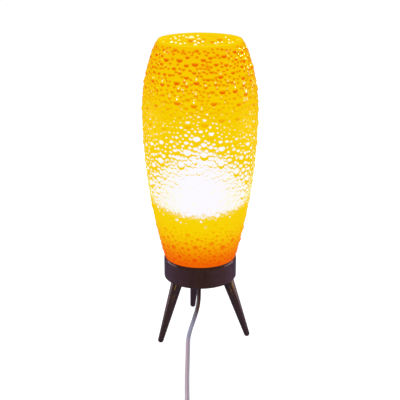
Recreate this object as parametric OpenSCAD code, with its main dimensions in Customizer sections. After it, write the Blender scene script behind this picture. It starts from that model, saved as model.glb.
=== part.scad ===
// Tripod table lamp with a barrel-shaped moulded shade on a turned wooden base
// Units are millimetres, +Z is up, the lamp's axis is the Z axis and the floor is z = 0.

/* [Shade] */
// Height of the shade's rim above the floor
lamp_height = 370; // [350:1:390]
// Radius of the plain shade wall at the belly
belly_radius = 68.5; // [62:0.5:72]
// Height of the belly as a share of the shade's own height
belly_share = 0.686; // [0.6:0.002:0.75]
// Radius of the long arc below the belly
flank_radius = 700; // [600:10:900]
// Radius of the arc from the belly to the shoulder
shoulder_radius = 202; // [170:1:260]
// Radius of the arc that turns in to the rim
crown_radius = 90; // [60:1:100]
// Height of that last arc below the rim
crown_drop = 16; // [12:1:26]
// Wall thickness of the shade
shade_wall = 2.6; // [2:0.1:3.5]
// Free space between the shade's foot and the base's rim
foot_clearance = 0.35; // [0.3:0.05:0.6]

/* [Base and legs] */
// Height of the base's underside above the floor
leg_height = 73.5; // [66:0.5:84]
// Thickness of the turned base
base_thick = 27.8; // [24:0.2:32]
// Width of the rim that stands round the shade's foot
base_rim = 1.7; // [1.5:0.1:4]
// Depth of the seat that takes the shade's foot
seat_depth = 7; // [5:0.5:8]
// Height over which the rim's outer edge is rounded off, and how far it draws in there
rim_ease = 4.2; // [2:0.2:6]
rim_draw = 1.2; // [0.4:0.1:1.3]
// Radius of the base's rounded lower edge
base_fillet = 2; // [1.5:0.5:4]
// Distance of each leg's floor point from the lamp's axis
foot_spread = 64; // [56:1:66]
// Leg diameter at the base
leg_top_d = 14.5; // [12:0.5:16]
// Leg diameter at the rounded tip
leg_tip_d = 7; // [6:0.5:8]
// Diameter of the tenon that is glued into the base
tenon_d = 8; // [6:0.5:9]
// Length of the tenon
tenon_length = 11; // [8:0.5:12]
// Turn of the back leg from the +X axis, in degrees
back_leg_turn = 99; // [90:1:110]

/* [Lampholder and bulb] */
// Outside radius of the lampholder's shell
holder_radius = 19.5; // [19:0.5:22]
// Largest diameter of the bulb
bulb_d = 60; // [50:1:62]
// Length of the bulb from its contact to its top
bulb_length = 104; // [98:1:110]
// Free space round the bulb's cap in the screw shell
cap_clearance = 0.3; // [0.25:0.05:0.5]

/* [Cord, switch and plug] */
// Width of the flat twin flex
flex_width = 5.2; // [4.6:0.1:5.6]
// Thickness of the flat twin flex
flex_thick = 2.6; // [2.2:0.1:2.8]
// Free space round the flex where it goes through a housing
flex_clearance = 0.25; // [0.2:0.05:0.5]
// Half of the rocker's swing, in degrees
rocker_tilt = 8; // [5:0.5:8]

/* [Hidden] */
round_fn = 96;
arc_fn = 720;
eps = 0.01;

// Heights of the base
base_top = leg_height + base_thick;
seat_z = base_top - seat_depth;

// The shade's outline: flank arc, shoulder arc and crown arc, each tangent to the next
belly_z = base_top + belly_share * (lamp_height - base_top);
crown_z = lamp_height - crown_drop;
shoulder_sin = (crown_z - belly_z) / shoulder_radius;
shoulder_cos = sqrt(1 - shoulder_sin * shoulder_sin);
crown_cx = belly_radius - shoulder_radius + (shoulder_radius - crown_radius) * shoulder_cos;
crown_cz = belly_z + (shoulder_radius - crown_radius) * shoulder_sin;
foot_top = base_top + 0.5;
foot_step = 0.9;
function flank_r(z) = belly_radius - flank_radius + sqrt(pow(flank_radius, 2) - pow(z - belly_z, 2));
foot_radius = flank_r(foot_top) - foot_step;

// Radii of the base
seat_radius = foot_radius + foot_clearance;
base_radius = seat_radius + base_rim;
well_radius = 14;
well_depth = 9;
web_z = leg_height + well_depth;
bore_clearance = 0.15;

// The legs' axes
leg_inset = 8.5;
leg_count = 3;
leg_step = 360 / leg_count;
leg_top_r = base_radius - leg_inset;
splay = atan((foot_spread - leg_top_r) / leg_height);
tip_radius = leg_tip_d / 2;
tip_z = tip_radius * 0.75;
tip_r = foot_spread - tip_z * tan(splay);
leg_length = (leg_height - tip_z) / cos(splay);
glue_gap = 0.1;

// The threaded nipple and its nut
nipple_r = 5;
nipple_bore = 3.7;
nut_across = 14;
nut_thick = 4;
washer_thick = 1.5;
nut_z = web_z - washer_thick - nut_thick;
nipple_low = nut_z - 1.5;
nipple_high = seat_z + 6;
thread_gap = 0.05;

// The lampholder, from the seat upwards
cap_floor_z = seat_z + 6.5;
insert_low = seat_z + 10;
insert_high = insert_low + 7;
shell_top = seat_z + 46;
shell_wall = 2.3;
cap_neck_r = holder_radius - shell_wall;
insert_r = cap_neck_r - 1.4;
screw_shell_r = 13.4;
screw_shell_wall = 0.5;
terminal_x = 9.5;
terminal_wide = 5;

// The bulb
contact_z = insert_high + 4;
bulb_top = contact_z + bulb_length;
globe_r = bulb_d / 2;
globe_z = bulb_top - globe_r;
cap_r = screw_shell_r - cap_clearance;
cap_wall = 0.5;
cap_low = contact_z + 4;
cap_high = contact_z + 28;
glass_wall = 0.7;
neck_r = cap_r + 0.1;
neck_z = cap_high + 0.7;
// Where the straight neck meets the globe
neck_reach = sqrt(neck_r * neck_r + pow(globe_z - neck_z, 2));
neck_angle = atan2(neck_z - globe_z, neck_r) + acos(globe_r / neck_reach);
stem_top = globe_z - 16;
stem_seat = cap_high - 11.5;
stem_flange = 2;

// The two leads side by side, and the cord grip in the underside of the base
lead_r = 1.1;
lead_x = 1.4;
grip_low = leg_height - 14;
grip_high = nipple_low + 6;

// The switch on the cord, measured from its own middle
switch_pos = [-14, -241];
switch_long = 58;
switch_wide = 22;
switch_corner = 7;
switch_low = 0.4;
switch_part_z = 6.5;
switch_high = 13.2;
switch_wall = 1.8;
switch_edge = 2.2;
switch_foot_edge = 1.2;
rocker_long = 18;
rocker_wide = 9;
rocker_gap = 0.45;
pivot_z = 10.8;
pivot_r = 1.2;

// The cord's routes, by hand: the drop and floor run, the link to the coil, the tail to the plug.
// The last number of each point is the roll of the flat flex, in degrees.
drop_route = [
    [0, 0, 74, 16], [0, 0, 64, 16], [-0.5, -0.5, 54, 16], [-1.5, -3, 41, 15], [-3.7, -8, 30, 13],
    [-7.5, -15, 19.5, 10], [-11.5, -24, 11, 6], [-14, -34, 5.5, 2], [-15, -46, 2.4, 0],
    [-15, -60, 1.6, 0], [-15, -90, 1.6, 0], [-15, -130, 1.6, 0], [-14.5, -165, 1.6, 0],
    [-14, -188, 2.6, 0], [-14, -201, 5.2, 0], [-14, -212, 6.5, 0], [-14, -218, 6.5, 0]
];
coil_turns = 3.5;
coil_radius = 36;
coil_step = flex_thick + 0.55;
coil_rise = flex_width + 0.7;
coil_low = 1.3 + flex_width / 2;
coil_pos = [switch_pos[0] + coil_radius, -304];
coil_rings = 24;
coil_exit_x = coil_pos[0] + coil_radius;
lay_gap = 0.2;
plug_z = 7;
boot_long = 20;
boot_r = 5;
boot_tip_r = 3.8;
boot_end_y = -276;
body_long = 32;
plug_y = boot_end_y + boot_long;
pin_spacing = 18.6;
pin_d = 4;
pin_long = 19;
link_route = [
    [-14, -264, 6.5, 0], [-14, -270, 6.5, 0], [-14, -279, 5.6, 22], [-14, -289, 4.3, 68],
    [-14, coil_pos[1] + flex_width + lay_gap, coil_low, 90]
];
tail_route = [
    [coil_exit_x, coil_pos[1] + flex_width + lay_gap, coil_low + coil_rise, 90],
    [coil_exit_x, -292, coil_low + coil_rise - 0.6, 60], [coil_exit_x, -284, 7.8, 22],
    [coil_exit_x, boot_end_y, plug_z, 0], [coil_exit_x, boot_end_y + 6, plug_z, 0]
];
route_steps = 4;

// Smooth curve through a route's points
function spline(a, b, c, d, t) = 0.5 * (2 * b + (c - a) * t + (2 * a - 5 * b + 4 * c - d) * t * t
    + (3 * b - a - 3 * c + d) * t * t * t);
function smooth_route(p) = [
    for (i = [0 : len(p) - 2], k = [0 : route_steps - 1])
        spline(p[max(i - 1, 0)], p[i], p[i + 1], p[min(i + 2, len(p) - 1)], k / route_steps),
    p[len(p) - 1]
];
function place(q) = [q[0], q[1], q[2]];
function unit(v) = v / norm(v);
function heading(p, i) = unit(place(p[min(i + 1, len(p) - 1)]) - place(p[max(i - 1, 0)]));
function route_length(p) = len(p) < 2 ? 0
    : [for (i = 0, s = 0; i < len(p); i = i + 1, s = i < len(p) ? s + norm(place(p[i] - p[i - 1])) : s) s]
        [len(p) - 1];

// One ring of the flat flex, square to its heading and rolled about it
function ring(q, t, sides) =
    let (
        across = unit([1, 0, 0] - t[0] * t),
        side = abs(t[0]) < 0.8 ? across : unit([0, 1, 0] - t[1] * t),
        lift = cross(side, t),
        grow = 1 / cos(180 / sides)
    )
    [
        for (j = [0 : sides - 1])
            let (
                a = 360 * (j + 0.5) / sides,
                u = flex_width / 2 * grow * cos(a) * 0.98,
                v = flex_thick / 2 * grow * sin(a) * 0.98
            )
            place(q) + side * (u * cos(q[3]) - v * sin(q[3])) + lift * (u * sin(q[3]) + v * cos(q[3]))
    ];

// A closed skin over rings of points
module skin(rings) {
    n = len(rings);
    m = len(rings[0]);
    polyhedron(
        [for (r = rings, p = r) p],
        [
            [for (j = [0 : m - 1]) j],
            for (i = [0 : n - 2], j = [0 : m - 1])
                let (a = i * m + j, b = i * m + (j + 1) % m)
                each [[a, a + m, b], [b, a + m, b + m]],
            [for (j = [m - 1 : -1 : 0]) (n - 1) * m + j]
        ],
        10
    );
}

module flex(route) {
    p = smooth_route(route);
    color([0.86, 0.82, 0.84]) skin([for (i = [0 : len(p) - 1]) ring(p[i], heading(p, i), 8)]);
    echo(flex_length = route_length(p));
}

// The coil: in along the floor, up one layer in the half turn at the middle, and out again on top
coil_in_r = coil_radius - coil_step * coil_turns;
function ease(x) = let (t = min(max(x, 0), 1)) t * t * (3 - 2 * t);
function coil_r(t) = t < coil_turns ? coil_radius - coil_step * t
    : t < coil_turns + 0.5 ? coil_in_r - 1.6 * sin(360 * (t - coil_turns))
    : coil_in_r + coil_step * (t - coil_turns - 0.5);
function coil_z(t) = coil_low + coil_rise * ease((2 * (t - coil_turns) - 0.2) / 0.6);
function coil_point(t) = [
    coil_pos[0] + coil_r(t) * cos(180 + 360 * t), coil_pos[1] + coil_r(t) * sin(180 + 360 * t), coil_z(t)
];
coil_total = 2 * coil_turns + 0.5;
coil_line = [
    [switch_pos[0], coil_pos[1] + flex_width, coil_low],
    for (i = [0 : coil_total * coil_rings]) coil_point(i / coil_rings),
    [coil_exit_x, coil_pos[1] + flex_width, coil_low + coil_rise]
];
function coil_gap(p, q) = max(norm([p[0] - q[0], p[1] - q[1]]) - flex_thick, abs(p[2] - q[2]) - flex_width);

// One ring of the flex on edge, as it lies in the coil
function edge_ring(q, t) =
    let (side = unit([t[1], -t[0], 0]))
    [
        for (j = [0 : 5])
            let (a = 60 * j + 90)
            q + side * (flex_thick / 2 * cos(a) / cos(30)) + [0, 0, flex_width / 2 * sin(a)]
    ];

// Solids of revolution round the lamp's axis
module turned() {
    rotate_extrude($fn = round_fn) children();
}

module ring_2d(r0, r1, z0, z1) {
    translate([r0, z0]) square([r1 - r0, z1 - z0]);
}

// The shade's filled outline, drawn in by the wall's thickness. Each smaller circle lies inside the one
// below it, so the pieces overlap and meet only where their arcs touch.
module shade_outline(inset, low) {
    wide = belly_radius + 1;
    lap = 5;
    intersection() {
        translate([belly_radius - flank_radius, belly_z]) circle(flank_radius - inset, $fn = arc_fn);
        ring_2d(0, wide, low, belly_z);
    }
    intersection() {
        translate([belly_radius - shoulder_radius, belly_z]) circle(shoulder_radius - inset, $fn = arc_fn);
        ring_2d(0, wide, belly_z - lap, crown_z);
    }
    intersection() {
        translate([crown_cx, crown_cz]) circle(crown_radius - inset, $fn = arc_fn);
        ring_2d(0, wide, crown_z - lap, lamp_height);
    }
}

module shade() {
    color([0.97, 0.74, 0.05]) turned() difference() {
        union() {
            shade_outline(0, foot_top);
            ring_2d(0, foot_radius, seat_z, foot_top);
        }
        shade_outline(shade_wall, foot_top + 4);
        ring_2d(0, foot_radius - shade_wall, seat_z - 1, foot_top + 4 + eps);
        translate([0, lamp_height - 1]) square([belly_radius - 25, 2]);
    }
}

// The base's turned outline, with both edges rounded, and its section with seat, bore and well
module base_outline() {
    ease_radius = (rim_ease * rim_ease + rim_draw * rim_draw) / (2 * rim_draw);
    ring_2d(0, base_radius - base_fillet, leg_height, base_top);
    ring_2d(0, base_radius, leg_height + base_fillet, base_top - rim_ease);
    translate([base_radius - base_fillet, leg_height + base_fillet]) circle(base_fillet, $fn = 64);
    intersection() {
        translate([base_radius - ease_radius, base_top - rim_ease]) circle(ease_radius, $fn = 180);
        ring_2d(base_radius - 3, base_radius + 1, base_top - rim_ease - 2, base_top);
    }
}

module base_section() {
    difference() {
        base_outline();
        ring_2d(0, seat_radius, seat_z, base_top + 1);
        ring_2d(0, nipple_r + bore_clearance, leg_height - 1, base_top);
        ring_2d(0, well_radius, leg_height - 1, web_z);
    }
}

module leg_frame(turn) {
    rotate([0, 0, turn]) translate([tip_r, 0, tip_z]) rotate([0, -splay, 0]) children();
}

module base_block() {
    color([0.2, 0.14, 0.14]) difference() {
        turned() base_section();
        for (k = [0 : leg_count - 1])
            leg_frame(back_leg_turn + leg_step * k)
                translate([0, 0, leg_length - 8])
                    cylinder(h = 8 + tenon_length + 0.3, d = tenon_d + 2 * glue_gap, $fn = 48);
    }
}

// One leg: a turned taper with a rounded tip, cut flat on the floor and coped to the base's underside
module leg(turn) {
    cope = base_fillet + 2;
    grow = (leg_top_d / 2 - tip_radius) / leg_length;
    color([0.16, 0.1, 0.1]) union() {
        difference() {
            intersection() {
                leg_frame(turn) rotate_extrude($fn = 64) {
                    polygon([
                        [0, 0], [tip_radius, 0], [tip_radius + grow * (leg_length + cope), leg_length + cope],
                        [0, leg_length + cope]
                    ]);
                    intersection() {
                        circle(tip_radius, $fn = 64);
                        translate([0, -tip_radius - 1]) square([tip_radius + 1, tip_radius + 1]);
                    }
                }
                translate([-100, -100, 0]) cube([200, 200, leg_height + base_fillet]);
            }
            turned() base_outline();
        }
        leg_frame(turn) translate([0, 0, leg_length - 7]) cylinder(h = 7 + tenon_length, d = tenon_d, $fn = 48);
    }
}

module leg_back() {
    leg(back_leg_turn);
}

module leg_front_left() {
    leg(back_leg_turn + leg_step);
}

module leg_front_right() {
    leg(back_leg_turn + 2 * leg_step);
}

module nipple() {
    color([0.75, 0.62, 0.3]) turned() ring_2d(nipple_bore, nipple_r, nipple_low, nipple_high);
}

module nipple_washer() {
    color([0.7, 0.7, 0.72]) turned() ring_2d(nipple_r + 0.2, 10, web_z - washer_thick, web_z);
}

module nipple_nut() {
    color([0.72, 0.6, 0.3]) difference() {
        translate([0, 0, nut_z]) cylinder(h = nut_thick, d = nut_across / cos(30), $fn = 6);
        translate([0, 0, nut_z - 1]) cylinder(h = nut_thick + 2, r = nipple_r + thread_gap, $fn = 48);
    }
}

module holder_cap() {
    color([0.1, 0.09, 0.09]) turned() difference() {
        union() {
            polygon([
                [0, seat_z], [holder_radius - 5, seat_z], [holder_radius, seat_z + 5],
                [holder_radius, insert_low], [0, insert_low]
            ]);
            ring_2d(0, cap_neck_r, insert_low - 1, insert_high - 0.1);
        }
        ring_2d(0, nipple_r + thread_gap, seat_z - 1, cap_floor_z + 1);
        ring_2d(0, insert_r - 2, cap_floor_z, insert_low + 1);
        ring_2d(0, insert_r + 0.2, insert_low, insert_high + 1);
    }
}

module holder_shell() {
    color([0.1, 0.09, 0.09]) turned() difference() {
        polygon([
            [0, insert_low], [holder_radius, insert_low], [holder_radius, insert_high + 3],
            [holder_radius - 1, insert_high + 4], [holder_radius - 1, shell_top - 1],
            [holder_radius - 2, shell_top], [0, shell_top]
        ]);
        ring_2d(0, cap_neck_r + 0.1, insert_low - 1, insert_high);
        ring_2d(0, insert_r - 0.8, insert_high - 1, shell_top + 1);
    }
}

module holder_insert() {
    color([0.9, 0.88, 0.84]) difference() {
        turned() ring_2d(0, insert_r, insert_low, insert_high);
        for (s = [-1, 1])
            translate([terminal_x * s, 0, insert_low - 1]) cylinder(h = 20, r = 1.6, $fn = 32);
    }
}

module holder_thread() {
    color([0.8, 0.66, 0.32]) turned() union() {
        ring_2d(screw_shell_r, screw_shell_r + screw_shell_wall, insert_high, shell_top - 5);
        ring_2d(screw_shell_r - 0.6, screw_shell_r + 0.9, insert_high, insert_high + 0.6);
    }
}

// The bent tongue that presses on the bulb's contact
module holder_contact() {
    color([0.8, 0.62, 0.3]) translate([0, 2.5, 0]) rotate([90, 0, 0]) linear_extrude(5) polygon([
        [-7, insert_high], [4, insert_high], [6.5, insert_high + 1.6], [3, contact_z - 0.3],
        [-3, contact_z - 0.3], [-3, contact_z - 0.8], [2.8, contact_z - 0.8],
        [5.6, insert_high + 1.6], [3.8, insert_high + 0.5], [-7, insert_high + 0.5]
    ]);
}

module holder_terminals() {
    color([0.8, 0.68, 0.36]) for (s = [-1, 1])
        difference() {
            translate([terminal_x * s - terminal_wide / 2, -3, cap_floor_z + 0.2])
                cube([terminal_wide, 6, insert_low - cap_floor_z - 0.2]);
            translate([terminal_x * s, 0, cap_floor_z - 1]) cylinder(h = 8, r = 1.45, $fn = 32);
        }
}

module holder_screws() {
    color([0.75, 0.72, 0.6]) for (s = [-1, 1]) translate([terminal_x * s, 0, 0]) {
        difference() {
            translate([0, 0, insert_high]) cylinder(h = 1.3, r = 2.3, $fn = 32);
            translate([-3, -0.3, insert_high + 0.7]) cube([6, 0.6, 1]);
        }
        translate([0, 0, cap_floor_z + 0.4]) cylinder(h = insert_high - cap_floor_z, r = 1.4, $fn = 32);
    }
}

// Two insulated leads from the cord's end up through the nipple to the terminals
module lead_wires() {
    bend = 1.8;
    turn_z = cap_floor_z + 0.3;
    low_z = drop_route[0][2] + 0.1;
    color([0.85, 0.8, 0.75]) for (s = [0, 1]) mirror([s, 0, 0]) {
        translate([lead_x, 0, low_z]) cylinder(h = turn_z - low_z, r = lead_r, $fn = 32);
        translate([lead_x + bend, 0, turn_z]) rotate([90, 0, 0]) rotate([0, 0, 90])
            rotate_extrude(angle = 90, $fn = 48) translate([bend, 0]) circle(lead_r, $fn = 32);
        translate([lead_x + bend, 0, turn_z + bend]) rotate([0, 90, 0])
            cylinder(h = terminal_x - terminal_wide / 2 - 0.1 - lead_x - bend, r = lead_r, $fn = 32);
    }
}

// The bulb's filled outline: globe and straight neck, drawn in by the glass
module bulb_outline(inset) {
    join_r = (globe_r - inset) * cos(neck_angle);
    join_z = globe_z + (globe_r - inset) * sin(neck_angle);
    intersection() {
        translate([0, globe_z]) circle(globe_r - inset, $fn = 180);
        ring_2d(0, globe_r + 1, join_z, bulb_top + 1);
    }
    low_r = inset > 0 ? cap_r - cap_wall - 1.2 : neck_r;
    polygon([[0, neck_z], [low_r, neck_z], [join_r, join_z], [0, join_z]]);
}

module bulb_glass() {
    color([0.98, 0.96, 0.88]) turned() difference() {
        union() {
            bulb_outline(0);
            ring_2d(0, cap_r - cap_wall - 0.2, cap_high - 12, neck_z);
        }
        bulb_outline(glass_wall);
        ring_2d(0, cap_r - cap_wall - 1.2, cap_high - 13, neck_z + eps);
    }
}

module bulb_cap() {
    color([0.82, 0.8, 0.74]) turned() difference() {
        ring_2d(8, cap_r, cap_low, cap_high);
        ring_2d(0, cap_r - cap_wall, cap_low + 0.6, cap_high + 1);
    }
}

module bulb_insulator() {
    color([0.12, 0.1, 0.12]) turned()
        polygon([[0, contact_z + 0.7], [4.8, contact_z + 0.7], [10.4, cap_low], [0, cap_low]]);
}

module bulb_contact() {
    color([0.78, 0.76, 0.72]) turned() ring_2d(0, 4.5, contact_z, contact_z + 0.7);
}

module bulb_stem() {
    color([0.92, 0.94, 0.94]) turned() {
        ring_2d(0, cap_r - cap_wall - 1.4, stem_seat, stem_seat + stem_flange);
        ring_2d(0, 3.6, stem_seat + stem_flange - eps, stem_top - 8);
        ring_2d(0, 1.6, stem_top - 9, stem_top);
    }
}

// Two stiff leads that stand on the stem and carry the filament's open ring
module bulb_filament() {
    arc_r = 12;
    color([0.5, 0.48, 0.45]) {
        for (s = [-1, 1])
            translate([2.6 * s, 0, stem_top - 8]) rotate([0, s * atan(9.4 / 24), 0])
                cylinder(h = norm([9.4, 24]), r = 0.4, $fn = 24);
        translate([0, 0, globe_z]) rotate_extrude(angle = 180, $fn = 96) translate([arc_r, 0]) circle(0.5, $fn = 24);
    }
}

module oval_2d(w, t) {
    square([w - t, t], center = true);
    for (s = [-1, 1])
        translate([s * (w - t) / 2, 0]) circle(d = t, $fn = 32);
}

// Soft bush pushed into the nipple from below, tapering along the flex
module cord_grip() {
    color([0.12, 0.1, 0.1]) difference() {
        turned() polygon([
            [0, grip_low], [4, grip_low], [5.6, leg_height - 1], [7, leg_height], [7, nipple_low - 0.1],
            [nipple_bore - 0.15, nipple_low - 0.1], [nipple_bore - 0.15, grip_high], [0, grip_high]
        ]);
        translate([0, 0, grip_low - 1]) rotate([0, 0, drop_route[0][3]])
            linear_extrude(grip_high - grip_low + 2)
                oval_2d(flex_width + 2 * flex_clearance, flex_thick + 2 * flex_clearance);
        translate([0, 0, drop_route[0][2]])
            cylinder(h = grip_high - drop_route[0][2] + 1, r = lead_x + lead_r + flex_clearance, $fn = 48);
    }
}

module cord_drop() {
    flex(drop_route);
}

module cord_link() {
    flex(link_route);
}

module cord_tail() {
    flex(tail_route);
}

module cord_coil() {
    n = len(coil_line) - 1;
    color([0.86, 0.82, 0.84]) skin([for (i = [0 : n]) edge_ring(coil_line[i], heading(coil_line, i))]);
    gaps = [
        for (i = [0 : n], j = [i + coil_rings / 2 : 1 : n])
            coil_gap(coil_line[i], coil_line[j])
    ];
    echo(coil_least_gap = min(gaps), coil_length = route_length(coil_line));
}

// A flat band round all the turns at the side away from the lamp
module cord_tie() {
    near = coil_in_r + 0.25 * coil_step - flex_thick / 2 - 1.0;
    far = coil_radius - 0.25 * coil_step + flex_thick / 2 + 0.6;
    high = coil_low + coil_rise + flex_width / 2 + 0.5;
    band = 0.8;
    color([0.15, 0.14, 0.15]) translate([coil_pos[0] + 3, coil_pos[1], 0]) rotate([90, 0, -90])
        linear_extrude(6) difference() {
            translate([near - band, 0]) square([far - near + 2 * band, high + band]);
            translate([near, band]) square([far - near, high - band]);
        }
}

// The switch's outline from above and its hollow
module switch_plan(inset) {
    l = switch_long / 2 - inset;
    w = switch_wide / 2 - inset;
    c = switch_corner - inset;
    square([2 * w, 2 * (l - c)], center = true);
    square([2 * (w - c), 2 * l], center = true);
    for (sx = [-1, 1], sy = [-1, 1])
        translate([sx * (w - c), sy * (l - c)]) circle(c, $fn = 48);
}

// Bars along and across the switch with two rounded edges, which round off its top or its bottom
module switch_bar(span, long, low, high, edge) {
    rotate([90, 0, 0]) translate([0, 0, -long / 2]) linear_extrude(long) {
        translate([-span / 2, low]) square([span, high - edge - low]);
        translate([-span / 2 + edge, low]) square([span - 2 * edge, high - low]);
        for (s = [-1, 1])
            translate([s * (span / 2 - edge), high - edge]) circle(edge, $fn = 48);
    }
}

module switch_form(low, high, edge) {
    intersection() {
        translate([0, 0, low]) linear_extrude(high - low) switch_plan(0);
        switch_bar(switch_wide, switch_long, low, high, edge);
        rotate([0, 0, 90]) switch_bar(switch_long, switch_wide, low, high, edge);
    }
}

module at_switch() {
    translate([switch_pos[0], switch_pos[1], 0]) children();
}

// The flex's way through both ends of the switch
module flex_passage() {
    translate([0, switch_long, switch_part_z]) rotate([90, 0, 0])
        linear_extrude(2 * switch_long) oval_2d(flex_width + 2 * flex_clearance, flex_thick + 2 * flex_clearance);
}

screw_y = switch_long / 2 - 8;
screw_x = switch_wide / 2 - 4.6;

module switch_lower_case() {
    color([0.13, 0.1, 0.1]) at_switch() difference() {
        union() {
            difference() {
                mirror([0, 0, 1]) switch_form(-switch_part_z, -switch_low, switch_foot_edge);
                translate([0, 0, switch_low + switch_wall]) linear_extrude(20) switch_plan(switch_wall);
            }
            for (s = [-1, 1])
                translate([s * screw_x, s * screw_y, switch_low])
                    cylinder(h = switch_part_z - switch_low, r = 3, $fn = 32);
        }
        flex_passage();
        for (s = [-1, 1]) translate([s * screw_x, s * screw_y, switch_low - 1]) {
            cylinder(h = 20, r = 1.3, $fn = 32);
            cylinder(h = 3, r = 2.3, $fn = 32);
        }
    }
}

module switch_upper_case() {
    boss_in = rocker_wide / 2 + rocker_gap;
    color([0.13, 0.1, 0.1]) at_switch() difference() {
        union() {
            difference() {
                switch_form(switch_part_z, switch_high, switch_edge);
                translate([0, 0, switch_part_z - 1])
                    linear_extrude(switch_high - switch_part_z + 1 - switch_wall) switch_plan(switch_wall);
            }
            for (s = [-1, 1])
                translate([s * screw_x, s * screw_y, switch_part_z])
                    cylinder(h = switch_high - switch_part_z - 0.5, r = 3, $fn = 32);
            for (s = [-1, 1])
                translate([s * (boss_in + 1.25) - 1.25, -4, pivot_z - 3]) cube([2.5, 8, switch_high - pivot_z + 2.5]);
        }
        flex_passage();
        translate([-boss_in, -rocker_long / 2 - 0.9, switch_part_z])
            cube([2 * boss_in, rocker_long + 1.8, 20]);
        translate([-boss_in - 2, 0, pivot_z]) rotate([0, 90, 0])
            cylinder(h = 2 * boss_in + 4, r = pivot_r + thread_gap, $fn = 32);
        for (s = [-1, 1])
            translate([s * screw_x, s * screw_y, switch_part_z - 1]) cylinder(h = 5, r = 1.05, $fn = 32);
    }
}

module switch_pivot() {
    reach = rocker_wide / 2 + rocker_gap + 1.9;
    color([0.75, 0.75, 0.77]) at_switch() translate([-reach, 0, pivot_z]) rotate([0, 90, 0])
        cylinder(h = 2 * reach, r = pivot_r, $fn = 32);
}

// Rocker with a ridge over its pivot, pressed down at the end towards the lamp
module switch_rocker() {
    half = rocker_long / 2;
    color([0.75, 0.7, 0.66]) at_switch() translate([0, 0, pivot_z]) rotate([-rocker_tilt, 0, 0])
        difference() {
            translate([-rocker_wide / 2, 0, 0]) rotate([90, 0, 90]) linear_extrude(rocker_wide) polygon([
                [-half, 2.6], [-1.5, 4.4], [1.5, 4.4], [half, 2.6],
                [half, -0.4], [3, -2.6], [-3, -2.6], [-half, -0.4]
            ]);
            translate([-rocker_wide, 0, 0]) rotate([0, 90, 0])
                cylinder(h = 2 * rocker_wide, r = pivot_r + 0.15, $fn = 32);
        }
}

// Two spring blades, each from a terminal at one end to below the rocker
module switch_blades() {
    floor_z = switch_low + switch_wall;
    color([0.8, 0.64, 0.32]) at_switch() for (s = [-1, 1])
        translate([3 * s - 1.5, 0, 0]) rotate([90, 0, 90]) linear_extrude(3) mirror([s < 0 ? 1 : 0, 0]) polygon([
            [18, floor_z], [18, floor_z + 2.5], [17.2, floor_z + 2.5], [17.2, floor_z + 0.6],
            [7, floor_z + 0.6], [1.2, floor_z + 3.2], [-1.5, floor_z + 3.2],
            [-1.5, floor_z + 2.6], [1, floor_z + 2.6], [6.8, floor_z]
        ]);
}

module switch_screws() {
    head_z = switch_low + 2;
    color([0.7, 0.7, 0.72]) at_switch() for (s = [-1, 1]) translate([s * screw_x, s * screw_y, 0]) {
        difference() {
            translate([0, 0, head_z - 1.4]) cylinder(h = 1.4, r = 2.1, $fn = 32);
            translate([-3, -0.3, head_z - 2]) cube([6, 0.6, 1.2]);
        }
        translate([0, 0, head_z - 0.1]) cylinder(h = 7, r = 1, $fn = 32);
    }
}

module at_plug() {
    translate([coil_exit_x, plug_y, plug_z]) children();
}

// Tapered strain relief, round and grooved so that it bends, with the flex's way through its middle
module plug_boot() {
    groove_wide = 1.4;
    groove_deep = 0.9;
    groove_step = 3.2;
    color([0.13, 0.1, 0.1]) at_plug() difference() {
        rotate([90, 0, 0]) cylinder(h = boot_long, r1 = boot_r, r2 = boot_tip_r, $fn = 48);
        translate([0, -boot_long + 6.3, 0]) rotate([90, 0, 0])
            linear_extrude(20) oval_2d(flex_width + 2 * flex_clearance, flex_thick + 2 * flex_clearance);
        for (k = [1 : 4])
            rotate([90, 0, 0]) rotate_extrude($fn = 48)
                ring_2d(
                    boot_r - (boot_r - boot_tip_r) * k * groove_step / boot_long - groove_deep, boot_r + 1,
                    k * groove_step, k * groove_step + groove_wide
                );
    }
}

// Flat plug, waisted towards the boot, with rounded sides and grip grooves
module plug_body() {
    thick = 13.4;
    face = 17.2;
    color([0.13, 0.1, 0.1]) at_plug() difference() {
        intersection() {
            translate([0, 0, -thick / 2]) linear_extrude(thick) polygon([
                [-7, 0], [-8, 3], [-face, 14], [-face, body_long - 1], [-face + 1, body_long],
                [face - 1, body_long], [face, body_long - 1], [face, 14], [8, 3], [7, 0]
            ]);
            translate([0, -1, 0]) rotate([-90, 0, 0]) linear_extrude(body_long + 2) oval_2d(2 * face, thick);
        }
        for (s = [-1, 1], k = [0 : 2])
            translate([s * (face + 0.6), 17 + 4 * k, -thick]) cylinder(h = 2 * thick, r = 1.4, $fn = 32);
    }
}

module plug_pins() {
    color([0.8, 0.78, 0.72]) at_plug() for (s = [-1, 1])
        translate([s * pin_spacing / 2, body_long, 0]) rotate([-90, 0, 0]) {
            cylinder(h = pin_long - 1, d = pin_d, $fn = 48);
            translate([0, 0, pin_long - 1]) cylinder(h = 1, d1 = pin_d, d2 = pin_d - 1.6, $fn = 48);
        }
}

shade();
base_block();
leg_back();
leg_front_left();
leg_front_right();
nipple();
nipple_washer();
nipple_nut();
holder_cap();
holder_shell();
holder_insert();
holder_thread();
holder_contact();
holder_terminals();
holder_screws();
lead_wires();
bulb_glass();
bulb_cap();
bulb_insulator();
bulb_contact();
bulb_stem();
bulb_filament();
cord_grip();
cord_drop();
switch_lower_case();
switch_upper_case();
switch_pivot();
switch_rocker();
switch_blades();
switch_screws();
cord_link();
cord_coil();
cord_tie();
cord_tail();
plug_boot();
plug_body();
plug_pins();
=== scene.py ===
import itertools
import math
import random

import bpy
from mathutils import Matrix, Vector, kdtree


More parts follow.
